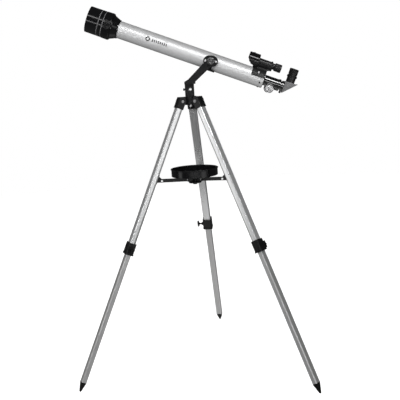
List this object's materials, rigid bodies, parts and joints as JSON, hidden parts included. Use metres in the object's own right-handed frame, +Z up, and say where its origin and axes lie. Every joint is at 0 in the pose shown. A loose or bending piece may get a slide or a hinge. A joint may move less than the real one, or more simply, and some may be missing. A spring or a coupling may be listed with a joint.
{
  "type": "refracting telescope on tripod",
  "caption": "Small refracting telescope with finder, star diagonal and rack focuser, on a yoke mount and a folding aluminium tripod with an accessory tray.",
  "frame": {"origin": "middle of the bounding box at floor level", "axes": "+Z up, +X from the telescope front to its rear, +Y away from the side with the near altitude knob"},
  "size_m": [0.7868, 0.7324, 1.241],
  "materials": {
    "tube_silver": "satin silver enamel",
    "leg_aluminium": "satin drawn",
    "lower_leg_aluminium": "satin drawn",
    "black_plastic": "fine moulded grain",
    "gloss_black_plastic": "polished moulding",
    "tray_plastic": "semi-gloss moulding",
    "finder_plastic": "semi-gloss moulding",
    "foot_plastic": "matt moulding",
    "grey_plastic": "fine grained",
    "black_enamel": "semi-matt enamel",
    "screw_steel": "plated",
    "black_screw": "blackened steel",
    "turned_metal": "turned face",
    "lens_glass": "coated",
    "mirror_glass": "front silvered"
  },
  "bodies": {
    "hub": {"tripod_hub": "black_plastic", "hinge_bolts": "screw_steel"},
    "leg_left": {"leg_cap_left": "black_plastic", "upper_leg_left": "leg_aluminium", "lock_collar_left": "black_plastic", "brace_bracket_left": "black_plastic", "leg_fasteners_left": "screw_steel"},
    "lower_leg_left": {"lower_leg_left": "lower_leg_aluminium", "leg_foot_left": "foot_plastic"},
    "lock_screw_left": {"lock_screw_left": "black_plastic"},
    "brace_arm_left": {"brace_arm_left": "black_enamel"},
    "leg_right": {"leg_cap_right": "black_plastic", "upper_leg_right": "leg_aluminium", "lock_collar_right": "black_plastic", "brace_bracket_right": "black_plastic", "leg_fasteners_right": "screw_steel"},
    "lower_leg_right": {"lower_leg_right": "lower_leg_aluminium", "leg_foot_right": "foot_plastic"},
    "lock_screw_right": {"lock_screw_right": "black_plastic"},
    "brace_arm_right": {"brace_arm_right": "black_enamel"},
    "leg_back": {"leg_cap_back": "black_plastic", "upper_leg_back": "leg_aluminium", "lock_collar_back": "black_plastic", "brace_bracket_back": "black_plastic", "leg_fasteners_back": "screw_steel"},
    "lower_leg_back": {"lower_leg_back": "lower_leg_aluminium", "leg_foot_back": "foot_plastic"},
    "lock_screw_back": {"lock_screw_back": "black_plastic"},
    "brace_arm_back": {"brace_arm_back": "black_enamel"},
    "brace_hub": {"brace_hub": "black_plastic"},
    "tray": {"accessory_tray": "tray_plastic"},
    "tray_screw": {"tray_screw": "black_plastic"},
    "yoke": {"yoke_fork": "black_enamel", "altitude_plates": "black_plastic", "fork_fasteners": "screw_steel"},
    "azimuth_lock": {"azimuth_lock_screw": "screw_steel"},
    "telescope": {"tube_saddle": "black_plastic", "main_tube": "tube_silver", "tube_screws": "black_screw", "objective_cell": "black_plastic", "crown_lens": "lens_glass", "flint_lens": "lens_glass", "lens_retaining_ring": "black_plastic", "focuser_housing": "gloss_black_plastic", "finder_bracket": "finder_plastic", "finder_screws": "screw_steel", "finder_tube": "finder_plastic", "finder_lenses": "lens_glass"},
    "knob_near": {"altitude_knob_near": "black_plastic"},
    "knob_far": {"altitude_knob_far": "black_plastic"},
    "dew_shield": {"dew_shield": "gloss_black_plastic"},
    "draw_tube": {"draw_tube": "gloss_black_plastic"},
    "focus_pinion": {"pinion_shaft": "screw_steel", "focus_knobs": "turned_metal"},
    "draw_tube_screw": {"draw_tube_screw": "turned_metal"},
    "diagonal": {"diagonal_housing": "grey_plastic", "diagonal_cover": "grey_plastic", "diagonal_mirror": "mirror_glass"},
    "eyepiece": {"eyepiece_barrel": "gloss_black_plastic", "eyepiece_lenses": "lens_glass"}
  },
  "joints": [
    {"name": "leg_fold_left", "type": "hinge", "parent": "hub", "child": "leg_left", "pos_m": [-0.00133, -0.10002, 0.9207], "axis": [0.3864, -0.9223, 0], "range_deg": [0, 19.5]},
    {"name": "leg_fold_right", "type": "hinge", "parent": "hub", "child": "leg_right", "pos_m": [0.05451, -0.10714, 0.9207], "axis": [0.6056, 0.7958, 0], "range_deg": [0, 19.55]},
    {"name": "leg_fold_back", "type": "hinge", "parent": "hub", "child": "leg_back", "pos_m": [0.03276, -0.05522, 0.9207], "axis": [-0.992, 0.1265, 0], "range_deg": [0, 19.55]},
    {"name": "brace_arm_fold_left", "type": "hinge", "parent": "leg_left", "child": "brace_arm_left", "pos_m": [-0.08235, -0.13396, 0.66765], "axis": [0.3864, -0.9223, 0], "range_deg": [0, 74.07]},
    {"name": "brace_arm_fold_right", "type": "hinge", "parent": "leg_right", "child": "brace_arm_right", "pos_m": [0.12442, -0.16034, 0.66765], "axis": [0.6056, 0.7958, 0], "range_deg": [0, 74.07]},
    {"name": "brace_arm_fold_back", "type": "hinge", "parent": "leg_back", "child": "brace_arm_back", "pos_m": [0.04388, 0.03192, 0.66765], "axis": [-0.992, 0.1265, 0], "range_deg": [0, 74.07]},
    {"name": "brace_hub_lift", "type": "slide", "parent": "hub", "child": "brace_hub", "axis": [0, 0, 1], "range_m": [0, 0.08223]},
    {"name": "tray_removal", "type": "slide", "parent": "hub", "child": "tray", "axis": [-0.1189, -0.9321, 0.342], "range_m": [0, 0.502]},
    {"name": "tray_screw_turn", "type": "hinge", "parent": "brace_hub", "child": "tray_screw", "pos_m": [0.02865, -0.08746, 0.64665], "axis": [0, 0, 1], "range_deg": [0, 180]},
    {"name": "leg_extension_left", "type": "slide", "parent": "leg_left", "child": "lower_leg_left", "axis": [0.3825, 0.1602, 0.91], "range_m": [0, 0.38]},
    {"name": "lock_screw_turn_left", "type": "hinge", "parent": "leg_left", "child": "lock_screw_left", "pos_m": [-0.18827, -0.20544, 0.45298], "axis": [0.3864, -0.9223, 0], "range_deg": [0, 180]},
    {"name": "leg_extension_right", "type": "slide", "parent": "leg_right", "child": "lower_leg_right", "axis": [-0.33, 0.2511, 0.91], "range_m": [0, 0.38]},
    {"name": "lock_screw_turn_right", "type": "hinge", "parent": "leg_right", "child": "lock_screw_right", "pos_m": [0.23927, -0.21633, 0.45298], "axis": [0.6056, 0.7958, 0], "range_deg": [0, 180]},
    {"name": "leg_extension_back", "type": "slide", "parent": "leg_back", "child": "lower_leg_back", "axis": [-0.0525, -0.4114, 0.91], "range_m": [0, 0.38]},
    {"name": "lock_screw_turn_back", "type": "hinge", "parent": "leg_back", "child": "lock_screw_back", "pos_m": [0.03494, 0.15938, 0.45298], "axis": [-0.992, 0.1265, 0], "range_deg": [0, 180]},
    {"name": "azimuth_turn", "type": "hinge", "parent": "hub", "child": "yoke", "pos_m": [0.02865, -0.08746, 0.955], "axis": [0, 0, 1], "continuous": true},
    {"name": "azimuth_lock_turn", "type": "hinge", "parent": "yoke", "child": "azimuth_lock", "pos_m": [0.00865, -0.08746, 0.959], "axis": [-1, 0, 0], "range_deg": [0, 180]},
    {"name": "altitude_tilt", "type": "hinge", "parent": "yoke", "child": "telescope", "pos_m": [0.10265, -0.08746, 1.0447], "axis": [0, 1, 0], "range_deg": [-30, 43]},
    {"name": "altitude_knob_near_turn", "type": "hinge", "parent": "telescope", "child": "knob_near", "pos_m": [0.10265, -0.13146, 1.0447], "axis": [0, -1, 0], "range_deg": [0, 180]},
    {"name": "altitude_knob_far_turn", "type": "hinge", "parent": "telescope", "child": "knob_far", "pos_m": [0.10265, -0.04346, 1.0447], "axis": [0, 1, 0], "range_deg": [0, 180]},
    {"name": "dew_shield_slide", "type": "slide", "parent": "telescope", "child": "dew_shield", "axis": [-0.9261, 0, 0.3772], "range_m": [0, 0.03]},
    {"name": "focus_slide", "type": "slide", "parent": "telescope", "child": "draw_tube", "axis": [0.9261, 0, -0.3772], "range_m": [0, 0.06]},
    {"name": "focus_knob_turn", "type": "hinge", "parent": "telescope", "child": "focus_pinion", "pos_m": [0.28783, -0.08746, 0.94661], "axis": [0, 1, 0], "range_deg": [-1, 764.94]},
    {"name": "draw_tube_screw_turn", "type": "hinge", "parent": "draw_tube", "child": "draw_tube_screw", "pos_m": [0.32367, -0.08746, 0.93309], "axis": [-0.3772, 0, -0.9261], "range_deg": [0, 180]},
    {"name": "diagonal_turn", "type": "hinge", "parent": "draw_tube", "child": "diagonal", "pos_m": [0.33557, -0.08746, 0.94984], "axis": [0.9261, 0, -0.3772], "continuous": true},
    {"name": "eyepiece_slide", "type": "slide", "parent": "diagonal", "child": "eyepiece", "axis": [0.3772, 0, 0.9261], "range_m": [0, 0.02]}
  ],
  "couplings": [
    {"joint": "leg_fold_right", "follows": "leg_fold_left", "ratio": 1},
    {"joint": "leg_fold_back", "follows": "leg_fold_left", "ratio": 1},
    {"joint": "brace_arm_fold_left", "follows": "leg_fold_left", "ratio": 3.783},
    {"joint": "brace_arm_fold_right", "follows": "leg_fold_left", "ratio": 3.783},
    {"joint": "brace_arm_fold_back", "follows": "leg_fold_left", "ratio": 3.783},
    {"joint": "brace_hub_lift", "follows": "leg_fold_left", "m_per_rad": 0.24016},
    {"joint": "tray_removal", "follows": "leg_fold_left", "m_per_rad": 1.4691},
    {"joint": "focus_knob_turn", "follows": "focus_slide", "rad_per_m": 222.22}
  ]
}
